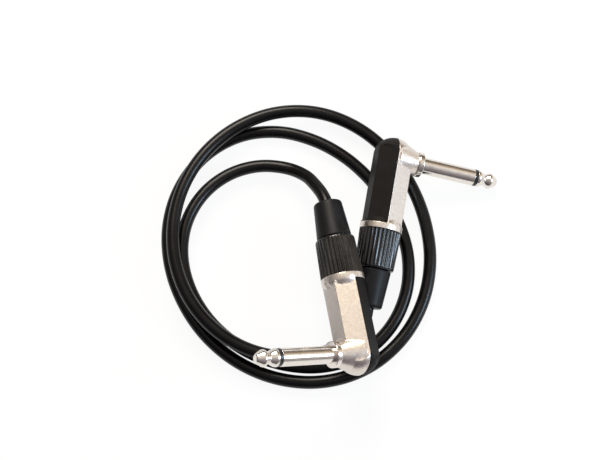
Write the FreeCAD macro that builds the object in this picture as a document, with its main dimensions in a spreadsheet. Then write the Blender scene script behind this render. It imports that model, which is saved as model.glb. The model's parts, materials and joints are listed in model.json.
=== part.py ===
import FreeCAD, Part
import Sketcher

import math
import os
import re

from FreeCAD import Placement, Rotation, Vector

# An instrument cable: two equal right-angle jack plugs on one round cable that lies in loose turns.
# Millimetres and degrees. The plug's own frame has its origin where the axes of the jack finger and
# of the body cross, +X out along the finger and +Z along the body towards the boot.
# The row's frame has the table at z = 0, +Z up, and its origin at the middle of the footprint.

# Driving sizes, with the name of each cell and what it measures
SIZES = (
    ("flats", 13.3, "hexagonal body, across flats"),
    ("wall", 1.3, "wall of the housing and of the cover"),
    ("closed_end_r", 7.8, "round closed end of the body, radius"),
    ("cavity_top", 23.6, "cavity's end towards the boot"),
    ("neck_start", 23.7, "start of the body's conical neck under the collar"),
    ("cover_gap", 0.08, "gap all round the cover's edge"),
    ("rail_depth", 1.6, "how far the housing's rails reach into the cover"),
    ("rail_inner", 4.2, "rails, inner faces from the middle"),
    ("rail_outer", 5.0, "rails, outer faces from the middle"),
    ("rail_end", 21.0, "rails, end towards the boot"),
    ("collar_width", 2.2, "width of the round collar"),
    ("collar_d", 15.8, "round collar, diameter"),
    ("collar_face", 28.0, "collar's face towards the nut"),
    ("spigot_d", 12.0, "threaded spigot, diameter over the threads"),
    ("spigot_end", 37.0, "end of the spigot"),
    ("socket_d", 9.4, "bore of the spigot round the chuck"),
    ("socket_floor", 26.0, "floor of the chuck's bore"),
    ("throat_start", 23.0, "start of the passage from the cavity to the chuck's bore"),
    ("throat_d", 6.4, "passage from the cavity to the chuck's bore, diameter"),
    ("boss_root", 1.0, "boss of the finger, wide end"),
    ("boss_root_d", 15.4, "boss of the finger, diameter of the wide end"),
    ("boss_end", 9.4, "boss of the finger, narrow end"),
    ("boss_end_d", 8.4, "boss of the finger, diameter of the narrow end"),
    ("shoulder_d", 9.4, "collar of the sleeve contact, diameter"),
    ("shoulder_width", 2.0, "collar of the sleeve contact, width"),
    ("finger_length", 30.4, "jack finger, from the collar's face to the point"),
    ("finger_d", 6.35, "jack finger, a quarter of an inch"),
    ("shank_d", 6.2, "shank of the sleeve contact in the boss"),
    ("lip_d", 5.0, "lip of the sleeve contact inside the ground lug"),
    ("sleeve_bore", 4.2, "bore of the sleeve contact"),
    ("ring_d", 6.3, "black ring, diameter"),
    ("ring_width", 1.3, "black ring, width"),
    ("ring_back", 9.4, "black ring, edge towards the sleeve, from the point"),
    ("rod_d", 2.4, "rod of the tip contact"),
    ("rod_end", 2.4, "inner end of the rod's riveted head"),
    ("rivet_d", 3.4, "rod's riveted head, diameter"),
    ("rivet_height", 0.8, "rod's riveted head, height"),
    ("nose_d", 2.8, "blunt end of the point"),
    ("nose_round", 1.2, "rounding of the point's end"),
    ("bulge_back", 3.0, "widest place of the point's cone, from the point"),
    ("bulge_round", 0.8, "rounding of that widest place"),
    ("neck_at", 4.9, "middle of the neck, from the point"),
    ("neck_flat", 0.6, "width of the neck's straight part"),
    ("neck_d", 4.3, "neck, diameter"),
    ("bulge_two", 7.2, "start of the second bulge, from the point"),
    ("lug_thick", 0.6, "thickness of both lugs"),
    ("lug_gap", 0.1, "gap between the ground lug and the housing's wall"),
    ("washer_d", 6.0, "insulating washer between the lugs"),
    ("washer_thick", 0.8, "thickness of that washer"),
    ("ground_ring_d", 6.0, "ground lug, diameter of its ring"),
    ("ground_tab_side", 1.3, "ground lug, near side of its tab from the middle"),
    ("ground_tab_width", 1.6, "ground lug, width of its tab"),
    ("ground_tab_end", 12.5, "ground lug, end of its tab"),
    ("tip_ring_d", 5.0, "tip lug, diameter of its ring"),
    ("tip_tab_width", 2.4, "tip lug, width of its tab"),
    ("tip_tab_end", 15.0, "tip lug, end of its tab"),
    ("chuck_d", 9.2, "cable chuck, diameter"),
    ("chuck_end", 39.0, "cable chuck, end towards the boot"),
    ("chuck_taper", 3.0, "length of the chuck's tapered head"),
    ("chuck_nose_d", 7.6, "chuck's head, diameter of its end"),
    ("chuck_slot", 0.6, "width of the chuck's slots"),
    ("chuck_root", 29.0, "inner end of the chuck's slots"),
    ("nut_foot", 28.1, "gland nut, end at the collar"),
    ("nut_end", 42.6, "gland nut, end at the boot"),
    ("nut_foot_d", 15.6, "gland nut, diameter at the collar"),
    ("nut_end_d", 14.4, "gland nut, diameter at the boot"),
    ("nut_round", 1.2, "gland nut, rounding of its shoulder"),
    ("nut_thread_d", 12.1, "gland nut, bore over the threads"),
    ("nut_thread_end", 38.0, "gland nut, end of the threaded bore"),
    ("nut_chamber_d", 11.2, "gland nut, chamber of the boot's flange"),
    ("nut_lip", 41.1, "gland nut, inner face of its end lip"),
    ("nut_mouth_d", 10.2, "gland nut, opening in its end"),
    ("flutes", 32, "gland nut, number of flutes"),
    ("flute_d", 1.1, "gland nut, diameter of a flute's cutter"),
    ("flute_circle_d", 15.4, "gland nut, circle of the flutes' middles"),
    ("boot_flange_d", 10.9, "boot, diameter of the flange in the nut"),
    ("boot_flange", 39.3, "boot, inner face of the flange"),
    ("boot_neck", 40.9, "boot, start of the neck"),
    ("boot_neck_d", 9.9, "boot, diameter of the neck"),
    ("boot_shoulder", 42.9, "boot, start of the part that shows"),
    ("boot_root_d", 12.8, "boot, diameter at the nut"),
    ("boot_end", 56.8, "boot, end"),
    ("boot_end_d", 10.4, "boot, diameter at its end"),
    ("boot_round", 1.0, "boot, rounding of its end"),
    ("boot_bore", 5.3, "boot, bore"),
    ("cable_d", 4.8, "cable, diameter of the jacket"),
    ("jacket_start", 24.0, "stripped end of the jacket"),
    ("core_d", 1.9, "core insulation, diameter"),
    ("core_end", 16.2, "stripped end of the core insulation"),
    ("conductor_d", 0.9, "core conductor, diameter"),
    ("conductor_end", 12.2, "end of the core conductor"),
    ("shield_d", 1.2, "twisted shield, diameter"),
    ("shield_side", 1.7, "shield, distance from the middle where it leaves the jacket"),
    ("shield_end", 9.4, "end of the shield"),
    ("solder_d", 1.7, "solder joints, diameter"),
    ("tip_joint", 13.3, "solder joint on the tip lug, height"),
    ("ground_joint", 10.6, "solder joint on the ground lug, height"),
    ("wire_straight", 1.5, "straight ends of the bent wires"),
    ("travel", 1.5, "way of the nut and the boot along the cable in one turn"),
    ("overrun", 1.0, "how far a cutting form runs past what it cuts"),
    ("left_x", 20.35, "left plug from the coil's middle"),
    ("left_y", -44.1, "left plug from the coil's middle"),
    ("left_z", 20.1, "left plug above the table"),
    ("left_heading", 100.3, "left plug, heading of its boot"),
    ("left_slope", 3.2, "left plug, fall towards its boot"),
    ("left_lift", 32.0, "left plug, rise of its finger"),
    ("right_x", 34.9, "right plug from the coil's middle"),
    ("right_y", 30.2, "right plug from the coil's middle"),
    ("right_z", 13.4, "right plug above the table"),
    ("right_heading", -100.2, "right plug, heading of its boot"),
    ("right_slope", 5.4, "right plug, fall towards its boot"),
    ("right_lift", -14.0, "right plug, rise of its finger"),
    ("coil_x", -11.54, "coil's middle from the middle of the footprint"),
    ("coil_y", -0.15, "coil's middle from the middle of the footprint"),
    ("coil_start", 100.0, "angle of the coil's first quarter"),
    ("coil_flat", 0.5, "depth of the flat on which the coil stands"),
)

# The coil at each quarter turn, counter-clockwise from the left plug to the right one: radius,
# growth of the radius in a quarter turn, height above the table, and climb in a quarter turn
QUARTERS = (
    (30.1, 23.4, 3.9, -3.1),
    (44.2, 1.3, 6.9, 1.0),
    (47.2, 8.1, 2.7, -0.5),
    (38.5, -12.5, 2.4, -0.2),
    (45.5, 22.6, 2.6, 0.0),
    (49.1, -5.3, 2.7, -1.8),
    (52.7, 5.6, 2.5, -0.7),
    (48.3, -4.3, 2.4, -0.3),
    (52.1, -5.6, 6.4, 6.4),
    (46.5, -1.3, 11.7, 2.3),
    (42.6, -9.3, 7.7, -2.0),
)
QUARTER_SIZES = ("radius", "growth", "height", "climb")

SIDES = ("left", "right")
LEAST_GAP = 0.4
STRAIGHT_SPARE = 0.2
WIDE = 200
SOLDER_FIT = 0.01
SAME_PLACE = 0.01
ALONG_X = Rotation(Vector(0, 1, 0), 90)
UPRIGHT = Rotation()

doc = FreeCAD.newDocument("instrument_cable")
sheet = doc.addObject("Spreadsheet::Sheet", "Sizes")
pieces = []


def fill_sheet():
    """One row for each size, and one row for each quarter turn of the coil."""
    for row, (alias, value, meaning) in enumerate(SIZES, start=1):
        sheet.set("A%d" % row, meaning)
        sheet.set("B%d" % row, str(value))
        sheet.setAlias("B%d" % row, alias)
    for row, quarter in enumerate(QUARTERS):
        for column, name, value in zip("DEFG", QUARTER_SIZES, quarter):
            cell = "%s%d" % (column, row + 1)
            sheet.set(cell, str(value))
            sheet.setAlias(cell, "quarter_%s_%d" % (name, row))
    doc.recompute()


def size(alias):
    return float(sheet.get(alias))


def bound(formula):
    """A formula of cell names, made into one of the sheet's cells."""
    return re.sub(r"[a-z][a-z_]*\b(?!\()", lambda word: "Sizes." + word.group(0), formula)


def solid(kind, name, at=("0", "0", "0"), turn=UPRIGHT, **sizes):
    """A Part primitive with its sizes and its place bound to the sheet."""
    made = doc.addObject("Part::" + kind, name)
    made.Placement.Rotation = turn
    for place, formula in zip("xyz", at):
        if formula != "0":
            made.setExpression("Placement.Base." + place, bound(formula))
    for what, formula in sizes.items():
        made.setExpression(what, bound(formula))
    return made


def block(name, low, high):
    """A box from its lowest to its highest corner, each given as three formulas."""
    width, depth, tall = ("(%s) - (%s)" % (b, a) for a, b in zip(low, high))
    return solid("Box", name, low, Length=width, Width=depth, Height=tall)


def join(name, *parts):
    made = doc.addObject("Part::MultiFuse", name)
    made.Shapes = list(parts)
    return made


def overlap(name, *parts):
    made = doc.addObject("Part::MultiCommon", name)
    made.Shapes = list(parts)
    return made


def take_away(name, base, tool):
    made = doc.addObject("Part::Cut", name)
    made.Base = base
    made.Tool = tool
    return made


def plane(body, role):
    return next(part for part in body.Origin.OriginFeatures if part.Role == role)


def outline(body, role, corners):
    """A closed sketch of straight lines whose corners are pinned to formulas."""
    sketch = body.newObject("Sketcher::SketchObject", body.Name + "_outline")
    sketch.AttachmentSupport = (plane(body, role), [""])
    sketch.MapMode = "FlatFace"
    count = len(corners)
    turns = [2 * math.pi * k / count for k in range(count)]
    rough = [Vector(10 * math.cos(turn), 10 * math.sin(turn), 0) for turn in turns]
    for k in range(count):
        sketch.addGeometry(Part.LineSegment(rough[k], rough[(k + 1) % count]), False)
    for k in range(count):
        sketch.addConstraint(Sketcher.Constraint("Coincident", k, 2, (k + 1) % count, 1))
    for k, corner in enumerate(corners):
        for axis, kind, formula in ((-2, "DistanceX", corner[0]), (-1, "DistanceY", corner[1])):
            if formula == "0":
                sketch.addConstraint(Sketcher.Constraint("PointOnObject", k, 1, axis))
            else:
                where = rough[k].x if kind == "DistanceX" else rough[k].y
                pin = sketch.addConstraint(Sketcher.Constraint(kind, -1, 1, k, 1, where))
                sketch.setExpression("Constraints[%d]" % pin, bound(formula))
    return sketch


def turned(name, axis, corners):
    """A body of revolution: corners are (x, z) in the plug's frame, spun round its X or Z axis."""
    body = doc.addObject("PartDesign::Body", name)
    sketch = outline(body, "XZ_Plane", corners)
    spun = body.newObject("PartDesign::Revolution", name + "_turning")
    spun.Profile = sketch
    spun.ReferenceAxis = (sketch, ["H_Axis" if axis == "x" else "V_Axis"])
    spun.Angle = 360
    sketch.Visibility = False
    return body


def round_rim(body, axis, reach, radius, rounding):
    """Rounds the circular edge that lies at one reach along the axis and has one radius."""
    doc.recompute()
    base = body.Tip
    rims = []
    for number, edge in enumerate(base.Shape.Edges, start=1):
        curve = edge.Curve
        if isinstance(curve, Part.Circle):
            along = getattr(curve.Center, axis)
            if abs(along - reach) < SAME_PLACE and abs(curve.Radius - radius) < SAME_PLACE:
                rims.append("Edge%d" % number)
    fillet = body.newObject("PartDesign::Fillet", body.Name + "_rounding")
    fillet.Base = (base, rims)
    fillet.setExpression("Radius", bound(rounding))


def plug_seat(side):
    """Where a plug lies: its heading, then its slope, then the roll that lifts its finger."""
    heading = Rotation(Vector(0, 0, 1), size(side + "_heading"))
    slope = Rotation(Vector(0, 1, 0), 90 + size(side + "_slope"))
    roll = Rotation(Vector(0, 0, 1), 90 + size(side + "_lift"))
    coil = Vector(size("coil_x"), size("coil_y"), 0)
    from_coil = Vector(size(side + "_x"), size(side + "_y"), size(side + "_z"))
    return Placement(coil + from_coil, heading * slope * roll)


def keep(made, side, node):
    """Names a finished sub-part and puts it where its plug lies."""
    made.Label = side + "_" + node
    made.Placement = plug_seat(side)
    pieces.append(made)


def shell_form(name, inset, top):
    """The hexagon with a flat towards the finger and a round closed end, drawn in by an inset."""
    across = "(flats - 2 * (%s))" % inset
    turn = Rotation(Vector(0, 0, 1), 30)
    prism = solid("Prism", name + "_prism", ("0", "0", "-flats"), turn,
                  Circumradius=across + " / sqrt(3)", Height="flats + " + top)
    prism.Polygon = 6
    end = solid("Sphere", name + "_end", Radius="closed_end_r - (%s)" % inset)
    upper = block(name + "_upper", ("-flats", "-flats", "0"), ("flats", "flats", top))
    return overlap(name, prism, join(name + "_reach", end, upper))


def neck_form(name, top):
    """The hexagon widens to the round collar in a short cone, which leaves an arc on each flat."""
    return solid("Cone", name, ("0", "0", "neck_start"), Radius1="flats / 2",
                 Radius2="collar_d / 2", Height=top + " - neck_start")


def housing(side):
    """Nickel housing: front half of the hexagon, neck, collar, threaded spigot, rails and the boss."""
    name = side + "_housing"
    collar_back = "(collar_face - collar_width)"
    outer = shell_form(name + "_outer", "0", collar_back)
    neck = neck_form(name + "_neck", collar_back)
    collar = solid("Cylinder", name + "_collar", ("0", "0", collar_back),
                   Radius="collar_d / 2", Height="collar_width")
    spigot = solid("Cylinder", name + "_spigot", ("0", "0", "collar_face"),
                   Radius="spigot_d / 2", Height="spigot_end - collar_face")
    boss = solid("Cone", name + "_boss", ("boss_root", "0", "0"), ALONG_X, Radius1="boss_root_d / 2",
                 Radius2="boss_end_d / 2", Height="boss_end - boss_root")
    cavity = shell_form(name + "_cavity", "wall", "cavity_top")
    opening = block(name + "_opening", ("-flats", "-flats", "-flats"), ("0", "flats", collar_back))
    socket = solid("Cylinder", name + "_socket", ("0", "0", "socket_floor"),
                   Radius="socket_d / 2", Height="spigot_end")
    throat = solid("Cylinder", name + "_throat", ("0", "0", "throat_start"),
                   Radius="throat_d / 2", Height="socket_floor")
    bore = solid("Cylinder", name + "_bore", ("0", "0", "0"), ALONG_X,
                 Radius="shank_d / 2", Height="2 * boss_end")
    body = join(name + "_solid", outer, neck, collar, spigot, boss)
    hollow = join(name + "_hollow", cavity, opening, socket, throat, bore)
    shell = take_away(name + "_shell", body, hollow)
    rails = []
    for hand, near, far in (("a", "rail_inner", "rail_outer"), ("b", "-rail_outer", "-rail_inner")):
        low = ("-rail_depth", near, "0")
        high = ("rail_depth + overrun", far, "rail_end")
        rails.append(block(name + "_rail_" + hand, low, high))
    keep(join(name, shell, *rails), side, "housing")


def rear_cover(side):
    """Black moulded cover: the other half of the hexagon and its neck, closed at its round end."""
    name = side + "_rear_cover"
    end = "(collar_face - collar_width - cover_gap)"
    outer = join(name + "_outer", shell_form(name + "_hexagon", "0", end), neck_form(name + "_neck", end))
    half = block(name + "_half", ("-flats", "-flats", "-flats"), ("-cover_gap", "flats", end))
    cavity = shell_form(name + "_cavity", "wall", "collar_face")
    keep(take_away(name, overlap(name + "_solid", outer, half), cavity), side, "rear_cover")


def sleeve_contact(side):
    """Turned nickel sleeve: shank in the boss, collar against its end, and the long finger."""
    shoulder = "(boss_end + shoulder_width)"
    back = "(flats / 2 - wall)"
    lip = back + " - lug_thick - lug_gap"
    ring = "(boss_end + shoulder_width + finger_length - ring_back)"
    made = turned(side + "_sleeve_contact", "x", (
        (lip, "sleeve_bore / 2"), (ring, "sleeve_bore / 2"), (ring, "finger_d / 2"),
        (shoulder, "finger_d / 2"), (shoulder, "shoulder_d / 2"), ("boss_end", "shoulder_d / 2"),
        ("boss_end", "shank_d / 2"), (back, "shank_d / 2"), (back, "lip_d / 2"), (lip, "lip_d / 2")))
    keep(made, side, "sleeve_contact")


def tip_insulator(side):
    """Black tube inside the sleeve, ending in the ring that shows between sleeve and tip."""
    inner = "(flats / 2 - wall) - lug_thick - lug_gap"
    ring = "(boss_end + shoulder_width + finger_length - ring_back)"
    face = ring + " + ring_width"
    made = turned(side + "_tip_insulator", "x", (
        (inner, "rod_d / 2"), (face, "rod_d / 2"), (face, "ring_d / 2"),
        (ring, "ring_d / 2"), (ring, "sleeve_bore / 2"), (inner, "sleeve_bore / 2")))
    keep(made, side, "tip_insulator")


def tip_contact(side):
    """Turned nickel tip with its neck, and the long rod that is riveted over inside the cavity."""
    point = "(boss_end + shoulder_width + finger_length)"
    made = turned(side + "_tip_contact", "x", (
        ("rod_end", "0"), (point, "0"), (point, "nose_d / 2"), (point + " - bulge_back", "finger_d / 2"),
        (point + " - neck_at + neck_flat / 2", "neck_d / 2"),
        (point + " - neck_at - neck_flat / 2", "neck_d / 2"),
        (point + " - bulge_two", "finger_d / 2"), (point + " - ring_back + ring_width", "finger_d / 2"),
        (point + " - ring_back + ring_width", "rod_d / 2"), ("rod_end + rivet_height", "rod_d / 2"),
        ("rod_end + rivet_height", "rivet_d / 2"), ("rod_end", "rivet_d / 2")))
    reach = size("boss_end") + size("shoulder_width") + size("finger_length")
    round_rim(made, "x", reach, size("nose_d") / 2, "nose_round")
    round_rim(made, "x", reach - size("bulge_back"), size("finger_d") / 2, "bulge_round")
    keep(made, side, "tip_contact")


def lug(side, node, foot, ring_d, hole_d, tab_low, tab_high, tab_end):
    """A stamped solder lug: a ring round the finger's axis and a tab towards the boot."""
    name = side + "_" + node
    top = foot + " + lug_thick"
    ring = solid("Cylinder", name + "_ring", (foot, "0", "0"), ALONG_X,
                 Radius=ring_d + " / 2", Height="lug_thick")
    tab = block(name + "_tab", (foot, tab_low, "0"), (top, tab_high, tab_end))
    hole = solid("Cylinder", name + "_hole", ("0", "0", "0"), ALONG_X,
                 Radius=hole_d + " / 2", Height="flats")
    keep(take_away(name, join(name + "_blank", ring, tab), hole), side, node)


def terminals(side):
    """Ground lug on the sleeve's lip, insulating washer, and the tip lug under the rivet head."""
    ground = "flats / 2 - wall - lug_gap - lug_thick"
    lug(side, "ground_lug", ground, "ground_ring_d", "lip_d",
        "-ground_tab_side - ground_tab_width", "-ground_tab_side", "ground_tab_end")
    washer = ground + " - washer_thick"
    name = side + "_terminal_insulator"
    disc = solid("Cylinder", name + "_disc", (washer, "0", "0"), ALONG_X,
                 Radius="washer_d / 2", Height="washer_thick")
    hole = solid("Cylinder", name + "_hole", ("0", "0", "0"), ALONG_X,
                 Radius="rod_d / 2", Height="flats")
    keep(take_away(name, disc, hole), side, "terminal_insulator")
    lug(side, "tip_lug", "rod_end + rivet_height", "tip_ring_d", "rod_d",
        "-tip_tab_width / 2", "tip_tab_width / 2", "tip_tab_end")


def cable_chuck(side):
    """Slotted collet that the nut closes on the jacket."""
    name = side + "_cable_chuck"
    sleeve = turned(name + "_sleeve", "z", (
        ("cable_d / 2", "socket_floor"), ("chuck_d / 2", "socket_floor"),
        ("chuck_d / 2", "chuck_end - chuck_taper"), ("chuck_nose_d / 2", "chuck_end"),
        ("cable_d / 2", "chuck_end")))
    slots = []
    across = "chuck_d + overrun"
    for hand, wide, deep in (("a", "chuck_slot", across), ("b", across, "chuck_slot")):
        low = ("-(%s) / 2" % wide, "-(%s) / 2" % deep, "chuck_root")
        high = ("(%s) / 2" % wide, "(%s) / 2" % deep, "chuck_end + overrun")
        slots.append(block(name + "_slot_" + hand, low, high))
    keep(take_away(name, sleeve, join(name + "_slots", *slots)), side, "cable_chuck")


def gland_nut(side):
    """Black fluted nut: threaded bore, chamber for the boot's flange, and an end lip."""
    body = turned(side + "_gland_nut", "z", (
        ("nut_thread_d / 2", "nut_foot"), ("nut_foot_d / 2", "nut_foot"), ("nut_end_d / 2", "nut_end"),
        ("nut_mouth_d / 2", "nut_end"), ("nut_mouth_d / 2", "nut_lip"), ("nut_chamber_d / 2", "nut_lip"),
        ("nut_chamber_d / 2", "nut_thread_end"), ("nut_thread_d / 2", "nut_thread_end")))
    round_rim(body, "z", size("nut_end"), size("nut_end_d") / 2, "nut_round")
    doc.recompute()
    flute = body.newObject("Sketcher::SketchObject", side + "_flute")
    flute.AttachmentSupport = (plane(body, "XY_Plane"), [""])
    flute.MapMode = "FlatFace"
    flute.addGeometry(Part.Circle(Vector(7, 0, 0), Vector(0, 0, 1), 1), False)
    flute.addConstraint(Sketcher.Constraint("PointOnObject", 0, 3, -1))
    across = flute.addConstraint(Sketcher.Constraint("DistanceX", -1, 1, 0, 3, 7))
    flute.setExpression("Constraints[%d]" % across, bound("flute_circle_d / 2"))
    wide = flute.addConstraint(Sketcher.Constraint("Diameter", 0, 1))
    flute.setExpression("Constraints[%d]" % wide, bound("flute_d"))
    cut = body.newObject("PartDesign::Pocket", side + "_flute_cut")
    cut.Profile = flute
    cut.Reversed = True
    cut.setExpression("Length", bound("nut_end + overrun"))
    around = body.newObject("PartDesign::PolarPattern", side + "_flutes")
    around.Originals = [cut]
    around.Axis = (flute, ["N_Axis"])
    around.Angle = 360
    around.setExpression("Occurrences", bound("flutes"))
    body.Tip = around
    keep(body, side, "gland_nut")


def boot(side):
    """Smooth black strain relief, held by its flange inside the nut."""
    body = turned(side + "_boot", "z", (
        ("boot_bore / 2", "boot_flange"), ("boot_flange_d / 2", "boot_flange"),
        ("boot_flange_d / 2", "boot_neck"), ("boot_neck_d / 2", "boot_neck"),
        ("boot_neck_d / 2", "boot_shoulder"), ("boot_root_d / 2", "boot_shoulder"),
        ("boot_end_d / 2", "boot_end"), ("boot_bore / 2", "boot_end")))
    round_rim(body, "z", size("boot_end"), size("boot_end_d") / 2, "boot_round")
    keep(body, side, "boot")


def arc_between(start, corner, end):
    """The arc that leaves one leg of a corner and joins the other, both legs being equal."""
    middle = (start + end) * 0.5
    turn = (corner - start).getAngle(end - corner)
    if turn < 1e-4:
        return Part.LineSegment(start, end), float("inf")
    radius = corner.distanceToPoint(start) / math.tan(turn / 2)
    crest = middle + (corner - middle) * (math.cos(turn / 2) / (1 + math.cos(turn / 2)))
    return Part.Arc(start, crest, end), radius


def biarc(start, start_way, end, end_way):
    """Two tangent arcs from one point and direction to another, with legs of one length."""
    chord = end - start
    ways = start_way + end_way
    along = chord.dot(ways)
    spare = (4 - ways.dot(ways)) * chord.dot(chord)
    leg = chord.dot(chord) / (along + math.sqrt(along * along + spare))
    first = start + start_way * leg
    second = end - end_way * leg
    joint = (first + second) * 0.5
    return [arc_between(start, first, joint), arc_between(joint, second, end)]


def tube(edges, diameter):
    """A round tube along tangent edges, as a solid, and the length of its middle line."""
    path = Part.Wire([edge.toShape() for edge in edges])
    start = edges[0].value(edges[0].FirstParameter)
    way = edges[0].tangent(edges[0].FirstParameter)[0]
    section = Part.Wire([Part.Circle(start, way, diameter / 2).toShape()])
    sweep = Part.BRepOffsetAPI.MakePipeShell(path)
    sweep.add(section, False, False)
    sweep.build()
    sweep.makeSolid()
    return sweep.shape(), path.Length


def plain_feature(name, shape):
    made = doc.addObject("Part::Feature", name)
    made.Shape = shape
    return made


def bent_wire(start, end, diameter):
    """A short wire in the plug: straight out of its start, over in two arcs, straight to its end."""
    down = Vector(0, 0, -1)
    straight = size("wire_straight")
    leave = start + down * straight
    arrive = end - down * straight
    arcs = [curve for curve, radius in biarc(leave, down, arrive, down)]
    return tube([Part.LineSegment(start, leave)] + arcs + [Part.LineSegment(arrive, end)], diameter)[0]


def cable_end(side):
    """The stripped end of the cable inside the plug, and its two solder joints."""
    jacket = turned(side + "_jacket_end", "z", (
        ("0", "jacket_start"), ("cable_d / 2", "jacket_start"),
        ("cable_d / 2", "boot_end - cable_d"), ("0", "boot_end - cable_d")))
    keep(jacket, side, "jacket_end")
    tip_face = size("rod_end") + size("rivet_height")
    ground_face = size("flats") / 2 - size("wall") - size("lug_gap") - size("lug_thick")
    core_x = tip_face - size("conductor_d") / 2
    shield_x = ground_face - size("shield_d") / 2
    shield_y = -size("ground_tab_side") - size("ground_tab_width") / 2
    strip = size("jacket_start")
    core = bent_wire(Vector(0, 0, strip), Vector(core_x, 0, size("core_end")), size("core_d"))
    keep(plain_feature(side + "_core_insulation", core), side, "core_insulation")
    leaves = Vector(0, -size("shield_side"), strip)
    braid = bent_wire(leaves, Vector(shield_x, shield_y, size("shield_end")), size("shield_d"))
    keep(plain_feature(side + "_shield_pigtail", braid), side, "shield_pigtail")
    bare = Part.makeCylinder(size("conductor_d") / 2, size("core_end") - size("conductor_end"),
                             Vector(core_x, 0, size("conductor_end")))
    keep(plain_feature(side + "_core_conductor", bare), side, "core_conductor")
    solder(side, "tip_solder", tip_face, Vector(core_x, 0, size("tip_joint")), size("conductor_d"))
    ground_joint = Vector(shield_x, shield_y, size("ground_joint"))
    solder(side, "ground_solder", ground_face, ground_joint, size("shield_d"))


def solder(side, node, face, middle, wire_d):
    """A bead of solder over a wire, flat against its lug."""
    bead = Part.makeSphere(size("solder_d") / 2, middle)
    far = 2 * size("solder_d")
    lug_side = Part.makeBox(far, 2 * far, 2 * far, Vector(face, middle.y - far, middle.z - far))
    wire = Part.makeCylinder(wire_d / 2 + SOLDER_FIT, 2 * far, middle - Vector(0, 0, far))
    keep(plain_feature(side + "_" + node, bead.cut(lug_side.fuse(wire))), side, node)


def coil_stations():
    """A point and a direction of the cable at each quarter turn, worked out from the sheet."""
    stations = []
    quarter = math.pi / 2
    middle = Vector(size("coil_x"), size("coil_y"), 0)
    for k in range(len(QUARTERS)):
        radius, growth, height, climb = (size("quarter_%s_%d" % (name, k)) for name in QUARTER_SIZES)
        angle = math.radians(size("coil_start")) + quarter * k
        out = Vector(math.cos(angle), math.sin(angle), 0)
        round_way = Vector(-math.sin(angle), math.cos(angle), 0)
        way = round_way * radius + out * (growth / quarter) + Vector(0, 0, climb / quarter)
        place = middle + out * radius + Vector(0, 0, height - size("coil_flat"))
        stations.append((place, way.normalize()))
    return stations


def cable_edges():
    """Lines and arcs of the cable's middle, from inside one boot to inside the other."""
    ends = []
    for side in SIDES:
        seat = plug_seat(side)
        face = size("boot_end") - size("cable_d")
        outside = size("boot_end") + size("travel") + STRAIGHT_SPARE
        ends.append((seat.multVec(Vector(0, 0, face)), seat.multVec(Vector(0, 0, outside)),
                     seat.Rotation.multVec(Vector(0, 0, 1))))
    (left_face, left_out, left_way), (right_face, right_out, right_way) = ends
    stops = [(left_out, left_way)] + coil_stations() + [(right_out, right_way * -1)]
    edges = [Part.LineSegment(left_face, left_out)]
    radii = []
    for (start, start_way), (end, end_way) in zip(stops, stops[1:]):
        for curve, radius in biarc(start, start_way, end, end_way):
            edges.append(curve)
            radii.append(radius)
    edges.append(Part.LineSegment(right_out, right_face))
    print("radii of the cable's arcs:", ", ".join("%.1f" % radius for radius in radii))
    return edges


def least_gap(edges, diameter):
    """The least gap of the cable to itself, measured between points a third of a diameter apart."""
    points = []
    reach = []
    walked = 0.0
    for edge in edges:
        shape = edge.toShape()
        count = max(2, int(shape.Length / (diameter / 3)))
        for k, point in enumerate(shape.discretize(count + 1)[:-1]):
            points.append(point)
            reach.append(walked + shape.Length * k / count)
        walked += shape.Length
    least = float("inf")
    for i, point in enumerate(points):
        for j in range(i + 1, len(points)):
            if reach[j] - reach[i] > 5 * diameter:
                least = min(least, point.distanceToPoint(points[j]))
    return least - diameter


def cable():
    """The jacketed cable between the plugs, one unbroken tube, flat where it stands on the table."""
    edges = cable_edges()
    round_tube, length = tube(edges, size("cable_d"))
    section = math.pi * size("cable_d") ** 2 / 4
    print("cable: length %.1f, volume over section times length %.4f"
          % (length, round_tube.Volume / (section * length)))
    gap = least_gap(edges, size("cable_d"))
    print("least gap of the cable to itself: %.2f" % gap)
    if gap < LEAST_GAP:
        raise SystemExit("the cable's turns are too close")
    above = Part.makeBox(2 * WIDE, 2 * WIDE, WIDE, Vector(-WIDE, -WIDE, 0))
    made = plain_feature("cable", round_tube.common(above).Solids[0])
    made.Label = "cable"
    pieces.append(made)


def check_and_write():
    """Stops at any failed or empty object, then writes one file for each sub-part."""
    doc.recompute()
    for thing in doc.Objects:
        for fault in ("Invalid", "Error"):
            if fault in thing.State:
                raise SystemExit("%s is %s" % (thing.Name, fault))
    os.makedirs("parts", exist_ok=True)
    for piece in pieces:
        shape = piece.Shape
        if shape.isNull() or not shape.isValid() or shape.Volume <= 0 or len(shape.Solids) != 1:
            raise SystemExit("%s has no sound single solid: %d solids, valid %s, volume %.1f"
                             % (piece.Label, len(shape.Solids), shape.isValid(), shape.Volume))
        shape.exportStep("parts/%s.step" % piece.Label)
    print("wrote", len(pieces), "sub-parts")


fill_sheet()
for side in SIDES:
    housing(side)
    rear_cover(side)
    sleeve_contact(side)
    tip_insulator(side)
    tip_contact(side)
    terminals(side)
    cable_chuck(side)
    gland_nut(side)
    boot(side)
    cable_end(side)
cable()
check_and_write()
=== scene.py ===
import json
import math

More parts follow.
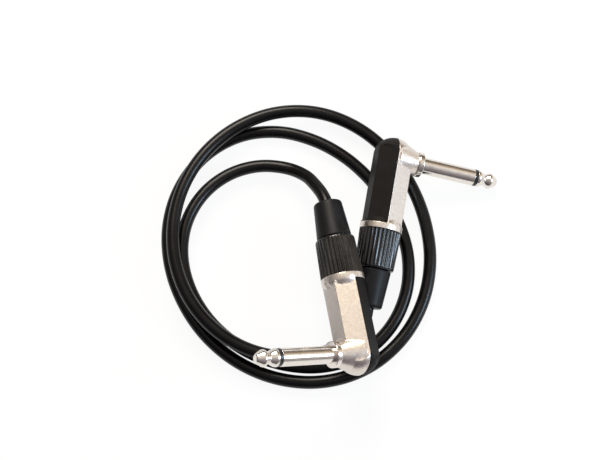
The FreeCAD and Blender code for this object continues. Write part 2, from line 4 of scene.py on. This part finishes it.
import bmesh
import bpy
import numpy as np
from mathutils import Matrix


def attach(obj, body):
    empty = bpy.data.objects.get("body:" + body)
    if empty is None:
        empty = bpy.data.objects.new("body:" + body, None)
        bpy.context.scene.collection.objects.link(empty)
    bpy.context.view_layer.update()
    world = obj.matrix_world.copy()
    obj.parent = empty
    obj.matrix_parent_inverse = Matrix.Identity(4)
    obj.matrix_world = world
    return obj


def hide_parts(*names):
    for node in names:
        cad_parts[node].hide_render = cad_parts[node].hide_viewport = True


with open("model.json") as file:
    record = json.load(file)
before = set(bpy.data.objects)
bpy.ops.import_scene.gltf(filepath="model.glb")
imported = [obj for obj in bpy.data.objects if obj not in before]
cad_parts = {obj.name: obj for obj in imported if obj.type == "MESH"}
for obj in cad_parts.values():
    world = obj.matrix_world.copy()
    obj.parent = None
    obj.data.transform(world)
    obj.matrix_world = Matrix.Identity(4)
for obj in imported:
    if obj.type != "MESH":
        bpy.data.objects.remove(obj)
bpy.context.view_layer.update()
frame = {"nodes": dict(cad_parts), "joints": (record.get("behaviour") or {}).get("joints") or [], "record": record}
scene = bpy.context.scene


# The table and the light round it
# A plain white table with one warm soft lamp high up behind, and a weaker cool one from the right. The
# table is white where the camera or a reflection sees it, and keeps the object's soft shadow.

TABLE_SIZE = 6.0
TABLE_COLOUR = (0.93, 0.93, 0.93, 1)
WHITE = (1, 1, 1, 1)

# How much of the table's own shading shows where it is seen directly
SHADOW_SHARE = 0.08

# Each row is how far a direction points to the back, from -1 at the front to 1, and the room's colour there
ROOM_COLOURS = (
    (-1.0, (0.13, 0.12, 0.14)),
    (-0.45, (0.44, 0.41, 0.42)),
    (-0.10, (0.76, 0.71, 0.69)),
    (0.12, (0.96, 0.91, 0.86)),
    (0.30, (1.0, 0.91, 0.78)),
    (0.45, (0.78, 0.65, 0.50)),
    (0.62, (0.34, 0.27, 0.21)),
    (1.0, (0.10, 0.09, 0.08)),
)

# The room's strength at the left and elsewhere, and the directions in X between which it changes
LEFT_STRENGTH = 0.30
ROOM_STRENGTH = 0.95
LEFT_SIDE = -0.9
NEAR_MIDDLE = 0.1


def new_material(name):
    """A material with an empty node tree, and its nodes and links."""
    material = bpy.data.materials.new(name)
    material.use_nodes = True
    nodes, links = material.node_tree.nodes, material.node_tree.links
    nodes.clear()
    return material, nodes, links


def seen_directly(nodes, links):
    """One where the camera, a reflection or a see-through ray meets the surface, else zero."""
    path = nodes.new("ShaderNodeLightPath")
    total = path.outputs["Is Camera Ray"]
    for ray in ("Is Glossy Ray", "Is Transmission Ray"):
        add = nodes.new("ShaderNodeMath")
        add.use_clamp = True
        links.new(total, add.inputs[0])
        links.new(path.outputs[ray], add.inputs[1])
        total = add.outputs[0]
    return total


def table():
    """One flat square of plain white that takes the shadow, mixed with a glow for what sees it."""
    material, nodes, links = new_material("white_table")
    plain = nodes.new("ShaderNodeBsdfDiffuse")
    plain.inputs["Color"].default_value = TABLE_COLOUR
    glow = nodes.new("ShaderNodeEmission")
    glow.inputs["Color"].default_value = WHITE
    share = nodes.new("ShaderNodeMath")
    share.operation = "MULTIPLY"
    share.inputs[1].default_value = 1 - SHADOW_SHARE
    links.new(seen_directly(nodes, links), share.inputs[0])
    mix = nodes.new("ShaderNodeMixShader")
    links.new(share.outputs[0], mix.inputs["Fac"])
    links.new(plain.outputs[0], mix.inputs[1])
    links.new(glow.outputs[0], mix.inputs[2])
    out = nodes.new("ShaderNodeOutputMaterial")
    links.new(mix.outputs[0], out.inputs["Surface"])
    half = TABLE_SIZE / 2
    corners = [(-half, -half, 0), (half, -half, 0), (half, half, 0), (-half, half, 0)]
    mesh = bpy.data.meshes.new("table")
    mesh.from_pydata(corners, [], [(0, 1, 2, 3)])
    mesh.materials.append(material)
    board = bpy.data.objects.new("table", mesh)
    scene.collection.objects.link(board)


def lamp(name, place, size, power, colour):
    """A square soft lamp that faces the middle of the object."""
    data = bpy.data.lights.new(name, "AREA")
    data.size = size
    data.energy = power
    data.color = colour
    made = bpy.data.objects.new(name, data)
    made.location = place
    made.rotation_euler = (-made.location).to_track_quat("-Z", "Y").to_euler()
    scene.collection.objects.link(made)


def room():
    """White for the camera. For all else a warm bright strip high up behind, darker round it and at left."""
    world = bpy.data.worlds.new("room")
    scene.world = world
    world.use_nodes = True
    nodes, links = world.node_tree.nodes, world.node_tree.links
    nodes.clear()
    where = nodes.new("ShaderNodeTexCoord")
    split = nodes.new("ShaderNodeSeparateXYZ")
    links.new(where.outputs["Generated"], split.inputs[0])
    side = nodes.new("ShaderNodeMapRange")
    side.inputs["From Min"].default_value = -1
    side.inputs["From Max"].default_value = 1
    links.new(split.outputs["Y"], side.inputs["Value"])
    ramp = nodes.new("ShaderNodeValToRGB")
    stops = ramp.color_ramp.elements
    for place, colour in ROOM_COLOURS[1:-1]:
        stops.new(place / 2 + 0.5)
    for stop, (place, colour) in zip(stops, ROOM_COLOURS):
        stop.position = place / 2 + 0.5
        stop.color = (*colour, 1)
    links.new(side.outputs[0], ramp.inputs["Fac"])
    inside = nodes.new("ShaderNodeBackground")
    strength = nodes.new("ShaderNodeMapRange")
    strength.inputs["From Min"].default_value = LEFT_SIDE
    strength.inputs["From Max"].default_value = NEAR_MIDDLE
    strength.inputs["To Min"].default_value = LEFT_STRENGTH
    strength.inputs["To Max"].default_value = ROOM_STRENGTH
    links.new(split.outputs["X"], strength.inputs["Value"])
    links.new(strength.outputs[0], inside.inputs["Strength"])
    links.new(ramp.outputs["Color"], inside.inputs["Color"])
    backdrop = nodes.new("ShaderNodeBackground")
    backdrop.inputs["Color"].default_value = WHITE
    path = nodes.new("ShaderNodeLightPath")
    mix = nodes.new("ShaderNodeMixShader")
    links.new(path.outputs["Is Camera Ray"], mix.inputs["Fac"])
    links.new(inside.outputs[0], mix.inputs[1])
    links.new(backdrop.outputs[0], mix.inputs[2])
    out = nodes.new("ShaderNodeOutputWorld")
    links.new(mix.outputs[0], out.inputs["Surface"])


table()
lamp("window", place=(-0.12, 0.66, 0.66), size=0.45, power=9.0, colour=(1.0, 0.92, 0.82))
lamp("right_fill", place=(0.78, -0.10, 0.52), size=0.30, power=5.0, colour=(0.62, 0.80, 1.0))
room()
scene.view_settings.view_transform = "Standard"


# The camera
# It looks down steeply from the front, as the photograph was taken, from about 0.4 m away. Its lens
# makes a millimetre of the object as many pixels as in the photograph.

# A millimetre in metres. Only the lamps, the table and the camera have their sizes and places in metres
MM = 0.001
PHOTO_WIDTH = 599
PIXELS_PER_MM = 2.625
CAMERA_DISTANCE = 0.415
CAMERA_ELEVATION = math.radians(75)
LOOKS_AT = np.array((-0.01154, 0.00595, 0.0))
SENSOR = 36.0


def camera():
    """Its focal length is the distance in pixels, brought from the picture's width to the sensor's."""
    data = bpy.data.cameras.new("camera")
    focal_pixels = PIXELS_PER_MM / MM * CAMERA_DISTANCE
    data.sensor_width = SENSOR
    data.lens = focal_pixels / PHOTO_WIDTH * SENSOR
    data.clip_start = 0.01
    made = bpy.data.objects.new("camera", data)
    back = np.array((0, -math.cos(CAMERA_ELEVATION), math.sin(CAMERA_ELEVATION)))
    made.location = LOOKS_AT + back * CAMERA_DISTANCE
    made.rotation_euler = (math.pi / 2 - CAMERA_ELEVATION, 0, 0)
    scene.collection.objects.link(made)
    scene.camera = made


camera()


# Where the two plugs lie
# Both plugs are the same parts. Each has its own frame: +X out along the jack finger, +Z along the body
# towards the boot, and its origin where the two axes cross. The record's mounts and joints place it in
# the row's frame, whose origin is on the table at the middle of the footprint.

SIDES = ("left", "right")

# How far the nut's joint is from the plug's origin, along the body
NUT_PIVOT = 36.0


def plug_frame(side):
    """The origin in metres, and the plug's three directions as rows."""
    mounts = {mount["name"]: mount for mount in frame["record"]["mounts"]}
    joints = {joint["name"]: joint for joint in frame["joints"]}
    finger = np.array(mounts[side + "_jack"]["axis"])
    turn = joints[side + "_nut_turn"]
    body = np.array(turn["axis"])
    origin = np.array(turn["pos_m"]) - NUT_PIVOT * MM * body
    return origin, np.stack([finger, np.cross(body, finger), body])


PLUGS = {side: plug_frame(side) for side in SIDES}


def in_row(side, points):
    """Points of a plug's own frame, in millimetres, brought into the row's frame, in metres."""
    origin, ways = PLUGS[side]
    return origin + np.asarray(points, float) @ ways * MM


# The cable
# A round cable in a soft black jacket, about 0.8 m long, laid by hand in two and three quarter loose
# turns, counter-clockwise from the left plug to the right one. A chuck inside each nut grips it.

CABLE_D = 4.8
COIL_MIDDLE = (-11.54, -0.15)
COIL_START = 100.0

# The coil at each quarter turn: radius, growth of the radius in a quarter turn, height above the table,
# and climb in a quarter turn
QUARTERS = np.array((
    (30.1, 23.4, 3.9, -3.1),
    (44.2, 1.3, 6.9, 1.0),
    (47.2, 8.1, 2.7, -0.5),
    (38.5, -12.5, 2.4, -0.2),
    (45.5, 22.6, 2.6, 0.0),
    (49.1, -5.3, 2.7, -1.8),
    (52.7, 5.6, 2.5, -0.7),
    (48.3, -4.3, 2.4, -0.3),
    (52.1, -5.6, 6.4, 6.4),
    (46.5, -1.3, 11.7, 2.3),
    (42.6, -9.3, 7.7, -2.0),
))
STEPS_PER_QUARTER = 5

# Along each plug, the cable's end inside the boot and the place where it starts to bend, and then the
# points of the bend from there to the coil, in the row's frame
CABLE_FACE = 52.0
LEFT_START = 54.3
RIGHT_START = 53.8
LEFT_BEND = ((-2.57, 15.06, 14.9), (-5.49, 20.24, 11.4), (-9.15, 25.48, 7.6))
RIGHT_BEND = ((12.0, -32.8, 7.4), (1.9, -40.2, 7.0))

# The part of a noise's range that the finishes use
NOISE_LOW = 0.3
NOISE_HIGH = 0.7


def between(start, growth, end, end_growth, share):
    """The cubic from start to end whose slopes there are growth and end_growth."""
    rest = 1 - share
    hold = start * rest ** 2 * (1 + 2 * share) + end * share ** 2 * (3 - 2 * share)
    return hold + growth * share * rest ** 2 - end_growth * share ** 2 * rest


def coil_points():
    """Radius and height run smoothly from one quarter turn to the next, five steps to a quarter.

    The middle of each stretch of the spline is six eighths of its own point and one eighth of either
    neighbour, so the points lie that much further out than the cable.
    """
    step = math.radians(90 / STEPS_PER_QUARTER)
    share = np.arange(STEPS_PER_QUARTER) / STEPS_PER_QUARTER
    rows = []
    for here, after in zip(QUARTERS, QUARTERS[1:]):
        radius = between(here[0], here[1], after[0], after[1], share)
        height = between(here[2], here[3], after[2], after[3], share)
        rows.append(np.column_stack([radius, height]))
    rows.append(QUARTERS[-1:, (0, 2)])
    radius, height = np.vstack(rows).T
    reach = radius * 8 / (6 + 2 * math.cos(step))
    angle = math.radians(COIL_START) + step * np.arange(len(radius))
    flat = np.column_stack([reach * np.cos(angle), reach * np.sin(angle)]) + COIL_MIDDLE
    return np.column_stack([flat, height])


def grain_group():
    """One noise with a feature size in metres, as a value round one half."""
    group = bpy.data.node_groups.new("grain", "ShaderNodeTree")
    group.interface.new_socket("Size", in_out="INPUT", socket_type="NodeSocketFloat")
    group.interface.new_socket("Value", in_out="OUTPUT", socket_type="NodeSocketFloat")
    nodes, links = group.nodes, group.links
    inputs = nodes.new("NodeGroupInput")
    outputs = nodes.new("NodeGroupOutput")
    where = nodes.new("ShaderNodeTexCoord")
    scale = nodes.new("ShaderNodeMath")
    scale.operation = "DIVIDE"
    scale.inputs[0].default_value = 1.0
    links.new(inputs.outputs["Size"], scale.inputs[1])
    noise = nodes.new("ShaderNodeTexNoise")
    noise.inputs["Detail"].default_value = 2.0
    links.new(where.outputs["Object"], noise.inputs["Vector"])
    links.new(scale.outputs[0], noise.inputs["Scale"])
    links.new(noise.outputs[0], outputs.inputs["Value"])
    return group


GRAIN = grain_group()


def grain(nodes, size):
    """The grain pattern, with a feature size in millimetres."""
    node = nodes.new("ShaderNodeGroup")
    node.node_tree = GRAIN
    node.inputs["Size"].default_value = size * MM
    return node.outputs["Value"]


def ranged(nodes, links, value, low, high):
    """The middle range of a noise, brought between two values."""
    made = nodes.new("ShaderNodeMapRange")
    made.inputs["From Min"].default_value = NOISE_LOW
    made.inputs["From Max"].default_value = NOISE_HIGH
    made.inputs["To Min"].default_value = low
    made.inputs["To Max"].default_value = high
    links.new(value, made.inputs["Value"])
    return made.outputs[0]


def shaded(nodes, links, value, dark, light):
    """A colour between two, by the middle range of a noise."""
    ramp = nodes.new("ShaderNodeValToRGB")
    ramp.color_ramp.elements[0].position = NOISE_LOW
    ramp.color_ramp.elements[0].color = (*dark, 1)
    ramp.color_ramp.elements[1].position = NOISE_HIGH
    ramp.color_ramp.elements[1].color = (*light, 1)
    links.new(value, ramp.inputs["Fac"])
    return ramp.outputs["Color"]


def finish(name, dark, light, rough, metal=0.0, shine=0.5, patch=3.0, fine=0.12, bump=0.1, height=0.01):
    """A surface whose colour and gloss drift over patches, with a fine grain in its height.

    Sizes are in millimetres: patch for the drift, fine for the grain, height for its depth. Shine is
    how much of the light a plastic throws back without taking its colour.
    """
    material, nodes, links = new_material(name)
    shader = nodes.new("ShaderNodeBsdfPrincipled")
    out = nodes.new("ShaderNodeOutputMaterial")
    links.new(shader.outputs[0], out.inputs["Surface"])
    drift = grain(nodes, patch)
    links.new(shaded(nodes, links, drift, dark, light), shader.inputs["Base Color"])
    links.new(ranged(nodes, links, drift, *rough), shader.inputs["Roughness"])
    shader.inputs["Metallic"].default_value = metal
    shader.inputs["Specular IOR Level"].default_value = shine
    press = nodes.new("ShaderNodeBump")
    press.inputs["Strength"].default_value = bump
    press.inputs["Distance"].default_value = height * MM
    links.new(grain(nodes, fine), press.inputs["Height"])
    links.new(press.outputs[0], shader.inputs["Normal"])
    return material


JACKET = finish("jacket", (0.0015, 0.0012, 0.0014), (0.003, 0.0027, 0.003), (0.26, 0.32), shine=0.22,
                patch=6, bump=0.0)


def cable():
    """One smooth spline from inside one boot to inside the other, through the coil's points."""
    left = in_row("left", [(0, 0, CABLE_FACE), (0, 0, LEFT_START)])
    right = in_row("right", [(0, 0, RIGHT_START), (0, 0, CABLE_FACE)])
    free = np.vstack([LEFT_BEND, coil_points(), RIGHT_BEND[::-1]]) * MM
    route = np.vstack([left, free, right])
    curve = bpy.data.curves.new("cable_jacket", "CURVE")
    curve.dimensions = "3D"
    spline = curve.splines.new("NURBS")
    spline.points.add(len(route) - 1)
    spline.points.foreach_set("co", np.column_stack([route, np.ones(len(route))]).ravel())
    spline.order_u = 3
    spline.use_endpoint_u = True
    spline.resolution_u = 14
    curve.bevel_depth = CABLE_D / 2 * MM
    curve.bevel_resolution = 14
    curve.use_fill_caps = True
    made = bpy.data.objects.new("cable_jacket", curve)
    scene.collection.objects.link(made)
    curve.materials.append(JACKET)
    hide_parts("cable")
    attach(made, "cable_and_plugs")


cable()


# The housings
# Nickel-plated die castings: the front half of a hexagonal body with its closed round end, the boss of
# the finger, the neck and the round collar. The cast surface is sand-blasted, its edges are soft, and
# the other parts of the plug are fixed to it.

EDGE_ROUND = 0.18
EDGE_STEPS = 3
EDGE_ANGLE = math.radians(32)
FLAT_WITHIN = math.radians(0.5)
JOIN_WITHIN = 0.02
SATIN_NICKEL = finish("satin_nickel", (0.68, 0.61, 0.55), (0.77, 0.71, 0.65), (0.28, 0.36), metal=1.0,
                      patch=0.7, fine=0.35, bump=0.6, height=0.03)


def stands_for(made, node, body):
    """Puts a shape in a CAD node's place, on the same body."""
    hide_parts(node)
    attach(made, body)


def softened(node, body, material):
    """A merged copy of a CAD node, its flats made whole, with rounded edges."""
    mesh = frame["nodes"][node].data.copy()
    work = bmesh.new()
    work.from_mesh(mesh)
    bmesh.ops.remove_doubles(work, verts=work.verts, dist=JOIN_WITHIN * MM)
    bmesh.ops.dissolve_limit(work, angle_limit=FLAT_WITHIN, verts=work.verts, edges=work.edges)
    work.to_mesh(mesh)
    work.free()
    mesh.shade_smooth()
    mesh.materials.clear()
    mesh.materials.append(material)
    made = bpy.data.objects.new(node + "_soft", mesh)
    scene.collection.objects.link(made)
    bevel = made.modifiers.new("soft_edges", "BEVEL")
    bevel.width = EDGE_ROUND * MM
    bevel.segments = EDGE_STEPS
    bevel.limit_method = "ANGLE"
    bevel.angle_limit = EDGE_ANGLE
    bevel.use_clamp_overlap = False
    flat = made.modifiers.new("flat_faces", "WEIGHTED_NORMAL")
    flat.weight = 100
    flat.keep_sharp = True
    stands_for(made, node, body)


for side in SIDES:
    softened(side + "_housing", "cable_and_plugs", SATIN_NICKEL)


# The rear covers
# Black moulded half bodies with a fine matte grain. Each slides over the housing's two rails, from the
# closed end as far as the round collar.

COVER_BLACK = finish("cover_black", (0.0060, 0.0048, 0.0044), (0.0100, 0.0084, 0.0080), (0.50, 0.60),
                     shine=0.12, patch=4, fine=0.35, bump=0.5, height=0.04)

for side in SIDES:
    softened(side + "_rear_cover", side + "_rear_cover", COVER_BLACK)


# The jack fingers
# Turned and polished nickel: the sleeve with its collar, a black ring, and the tip with its neck and
# blunt point. The tip's rod runs back through an insulating tube and is riveted over inside the body.

# Places along the finger, from the plug's middle to the point
ROD_END = 2.4
RIVET = 3.2
SLEEVE_LIP = 4.65
SHANK_BACK = 5.35
BOSS_END = 9.4
SHOULDER = 11.4
RING_EDGE = 32.4
RING_FACE = 33.7
POINT = 41.8
BULGE = POINT - 7.2
NECK_BACK = POINT - 5.2
NECK_FRONT = POINT - 4.6
WIDEST = POINT - 3.0

# Radii, from the smallest
ROD_R = 1.2
NOSE_R = 1.4
RIVET_R = 1.7
TUBE_R = 2.1
NECK_R = 2.15
LIP_R = 2.5
SHANK_R = 3.1
RING_R = 3.15
FINGER_R = 3.175
COLLAR_R = 4.7

# Each corner of an outline is its place, its radius and how far its rounding reaches
CRISP = 0.02
SLEEVE_OUTLINE = (
    (SLEEVE_LIP, TUBE_R, CRISP),
    (RING_EDGE, TUBE_R, CRISP),
    (RING_EDGE, FINGER_R, 0.12),
    (SHOULDER, FINGER_R, 0.15),
    (SHOULDER, COLLAR_R, 0.35),
    (BOSS_END, COLLAR_R, 0.35),
    (BOSS_END, SHANK_R, CRISP),
    (SHANK_BACK, SHANK_R, CRISP),
    (SHANK_BACK, LIP_R, CRISP),
    (SLEEVE_LIP, LIP_R, CRISP),
)
RING_OUTLINE = (
    (SLEEVE_LIP, ROD_R, CRISP),
    (RING_FACE, ROD_R, CRISP),
    (RING_FACE, RING_R, 0.1),
    (RING_EDGE, RING_R, 0.1),
    (RING_EDGE, TUBE_R, CRISP),
    (SLEEVE_LIP, TUBE_R, CRISP),
)
TIP_OUTLINE = (
    (ROD_END, 0.0, 0.0),
    (POINT, 0.0, 0.0),
    (POINT, NOSE_R, 1.1),
    (WIDEST, FINGER_R, 0.9),
    (NECK_FRONT, NECK_R, 0.25),
    (NECK_BACK, NECK_R, 0.4),
    (BULGE, FINGER_R, 0.6),
    (RING_FACE, FINGER_R, 0.15),
    (RING_FACE, ROD_R, CRISP),
    (RIVET, ROD_R, 0.05),
    (RIVET, RIVET_R, 0.3),
    (ROD_END, RIVET_R, 0.1),
)
MOST_OF_SIDE = 0.4
ARC_SHARES = (-0.12, 0.0, 0.2, 0.4, 0.6, 0.8, 1.0, 1.12)
TURNS = 176
SAME_PLACE = 0.0005
BRIGHT_NICKEL = finish("bright_nickel", (0.76, 0.71, 0.65), (0.82, 0.77, 0.71), (0.14, 0.20), metal=1.0,
                       patch=2.0, bump=0.0)
RING_BLACK = finish("ring_black", (0.010, 0.010, 0.011), (0.016, 0.016, 0.018), (0.28, 0.40))


def rounded(outline):
    """A closed outline whose corners are parabola arcs between two tangent points.

    No rounding takes more than two fifths of a side. Each arc has six points, and one more on the
    straight line before and after it keeps the flats flat.
    """
    outline = np.asarray(outline, float)
    corners, rounds = outline[:, :2], outline[:, 2]
    back = np.roll(corners, 1, axis=0) - corners
    ahead = np.roll(corners, -1, axis=0) - corners
    back_length = np.linalg.norm(back, axis=1)
    ahead_length = np.linalg.norm(ahead, axis=1)
    reach = np.minimum(rounds, MOST_OF_SIDE * np.minimum(back_length, ahead_length))[:, None]
    start = corners + back / back_length[:, None] * reach
    end = corners + ahead / ahead_length[:, None] * reach
    share = np.array(ARC_SHARES)[None, :, None]
    inner = np.clip(share, 0, 1)
    arc = start[:, None] * (1 - inner) ** 2 + 2 * corners[:, None] * inner * (1 - inner)
    arc = arc + end[:, None] * inner ** 2
    before = np.minimum(share, 0) * (corners - start)[:, None]
    after = np.maximum(share - 1, 0) * (end - corners)[:, None]
    return (arc + before + after).reshape(-1, 2)


def ring_mesh(name, points, material):
    """A closed surface from a grid of points, outline by turn, both of which close on themselves."""
    rows, columns = points.shape[:2]
    index = np.arange(rows * columns).reshape(rows, columns)
    below = np.roll(index, -1, axis=0)
    faces = np.stack([index, below, np.roll(below, -1, axis=1), np.roll(index, -1, axis=1)], axis=-1)
    mesh = bpy.data.meshes.new(name)
    mesh.from_pydata(points.reshape(-1, 3).tolist(), [], faces.reshape(-1, 4).tolist())
    work = bmesh.new()
    work.from_mesh(mesh)
    bmesh.ops.remove_doubles(work, verts=work.verts, dist=SAME_PLACE * MM)
    bmesh.ops.recalc_face_normals(work, faces=work.faces)
    work.to_mesh(mesh)
    work.free()
    mesh.shade_smooth()
    mesh.materials.append(material)
    made = bpy.data.objects.new(name, mesh)
    scene.collection.objects.link(made)
    return made


def spun(name, side, axis, outline, material, count=TURNS, depth=None):
    """An outline of corners, rounded and spun round the plug's X or Z axis.

    Each point keeps its place along the axis, and its radius is spread by the cosine and sine of the
    angle. depth(along, radius, angle) is how far the surface lies under that radius, if given.
    """
    profile = rounded(outline)
    along, radius = profile[:, :1], profile[:, 1:]
    angle = np.linspace(0, 2 * math.pi, count, endpoint=False)[None, :]
    if depth is not None:
        radius = radius - depth(along, radius, angle)
    first = radius * np.cos(angle)
    second = radius * np.sin(angle)
    along = along + np.zeros_like(first)
    order = (along, first, second) if axis == "x" else (first, second, along)
    return ring_mesh(name, in_row(side, np.stack(order, axis=-1)), material)


def finger(side):
    """Sleeve, ring with its tube, and tip with its rod, as three turned pieces."""
    sleeve = spun(side + "_sleeve", side, "x", SLEEVE_OUTLINE, BRIGHT_NICKEL)
    stands_for(sleeve, side + "_sleeve_contact", "cable_and_plugs")
    ring = spun(side + "_ring", side, "x", RING_OUTLINE, RING_BLACK)
    stands_for(ring, side + "_tip_insulator", "cable_and_plugs")
    tip = spun(side + "_tip", side, "x", TIP_OUTLINE, BRIGHT_NICKEL)
    stands_for(tip, side + "_tip_contact", "cable_and_plugs")


for side in SIDES:
    finger(side)


# The gland nuts
# Black semi-gloss mouldings that screw onto the housing's spigot. Thirty-two round flutes run in from
# the foot and fade out under the rounded shoulder.

NUT_FOOT = 28.1
THREAD_END = 38.0
NUT_LIP = 41.1
NUT_END = 42.6
MOUTH_R = 5.1
CHAMBER_R = 5.6
THREAD_R = 6.05
WALL_MIDDLE_R = 6.5
NUT_END_R = 7.2
NUT_FOOT_R = 7.8
INSIDE_ROUND = 0.05
NUT_OUTLINE = (
    (NUT_FOOT, THREAD_R, INSIDE_ROUND),
    (THREAD_END, THREAD_R, INSIDE_ROUND),
    (THREAD_END, CHAMBER_R, INSIDE_ROUND),
    (NUT_LIP, CHAMBER_R, INSIDE_ROUND),
    (NUT_LIP, MOUTH_R, INSIDE_ROUND),
    (NUT_END, MOUTH_R, 0.2),
    (NUT_END, NUT_END_R, 1.1),
    (NUT_FOOT, NUT_FOOT_R, 0.25),
)
FLUTES = 32
FLUTE_R = 0.55
FLUTE_CIRCLE = 7.7
STEPS_PER_FLUTE = 12
NUT_BLACK = finish("nut_black", (0.0020, 0.0018, 0.0020), (0.0045, 0.0040, 0.0044), (0.20, 0.28),
                   shine=0.60, patch=3, fine=0.25, bump=0.12, height=0.01)


def flute_depth(along, radius, angle):
    """How deep the nearest flute cuts: the wall's radius less that of the flute's floor.

    The floor is at the circle of the flutes' middles times the cosine of the angle off the nearest one,
    less half the flute's chord there. Between the flutes and on the nut's inside nothing is cut.
    """
    pitch = 2 * math.pi / FLUTES
    off = (angle + pitch / 2) % pitch - pitch / 2
    across = FLUTE_CIRCLE * np.sin(off)
    cut = np.sqrt(np.clip(FLUTE_R ** 2 - across ** 2, 0, None))
    floor = FLUTE_CIRCLE * np.cos(off) - cut
    depth = np.where(np.abs(across) < FLUTE_R, np.clip(radius - floor, 0, None), 0)
    return np.where(radius > WALL_MIDDLE_R, depth, 0) * np.ones_like(along)


for side in SIDES:
    nut = spun(side + "_nut", side, "z", NUT_OUTLINE, NUT_BLACK, FLUTES * STEPS_PER_FLUTE, flute_depth)
    stands_for(nut, side + "_gland_nut", side + "_gland_nut")


# The boots
# Smooth matte black strain reliefs of soft rubber, a little narrower towards the cable. The flange at
# each one's foot sits in the nut's chamber and holds it.

BOOT_FLANGE = 39.3
BOOT_NECK = 40.9
BOOT_SHOULDER = 42.9
BOOT_END = 56.8
BOOT_BORE_R = 2.65
BOOT_NECK_R = 4.95
BOOT_END_R = 5.2
BOOT_FLANGE_R = 5.45
BOOT_ROOT_R = 6.4
FLANGE_ROUND = 0.1
BOOT_OUTLINE = (
    (BOOT_FLANGE, BOOT_BORE_R, FLANGE_ROUND),
    (BOOT_FLANGE, BOOT_FLANGE_R, FLANGE_ROUND),
    (BOOT_NECK, BOOT_FLANGE_R, FLANGE_ROUND),
    (BOOT_NECK, BOOT_NECK_R, FLANGE_ROUND),
    (BOOT_SHOULDER, BOOT_NECK_R, FLANGE_ROUND),
    (BOOT_SHOULDER, BOOT_ROOT_R, 0.35),
    (BOOT_END, BOOT_END_R, 1.0),
    (BOOT_END, BOOT_BORE_R, 0.3),
)
BOOT_BLACK = finish("boot_black", (0.0040, 0.0042, 0.0050), (0.0070, 0.0074, 0.0090), (0.40, 0.50),
                    shine=0.22, patch=5, fine=0.15, bump=0.10, height=0.02)

for side in SIDES:
    boot = spun(side + "_boot_cone", side, "z", BOOT_OUTLINE, BOOT_BLACK)
    stands_for(boot, side + "_boot", side + "_boot")


# The parts inside each plug
# Tinned brass lugs, a nylon chuck, the stripped cable end and the solder that joins it to the lugs. They
# show only where a cover is off, and keep their CAD shapes.

TINNED = finish("tinned_lug", (0.60, 0.56, 0.46), (0.68, 0.64, 0.54), (0.25, 0.38), metal=1.0)
COPPER = finish("bare_copper", (0.68, 0.34, 0.20), (0.78, 0.45, 0.29), (0.28, 0.40), metal=1.0)
SOLDER = finish("solder", (0.52, 0.52, 0.53), (0.66, 0.66, 0.67), (0.22, 0.36), metal=1.0, patch=0.8)
INNER_FINISHES = {
    "ground_lug": TINNED,
    "tip_lug": TINNED,
    "terminal_insulator": RING_BLACK,
    "cable_chuck": finish("nylon", (0.70, 0.69, 0.63), (0.78, 0.77, 0.71), (0.45, 0.60), fine=0.4),
    "jacket_end": JACKET,
    "core_insulation": finish("core_white", (0.70, 0.69, 0.65), (0.78, 0.77, 0.73), (0.35, 0.45), fine=0.3),
    "core_conductor": COPPER,
    "shield_pigtail": COPPER,
    "tip_solder": SOLDER,
    "ground_solder": SOLDER,
}

for side in SIDES:
    for node, material in INNER_FINISHES.items():
        carried = frame["nodes"][side + "_" + node].data.materials
        carried.clear()
        carried.append(material)
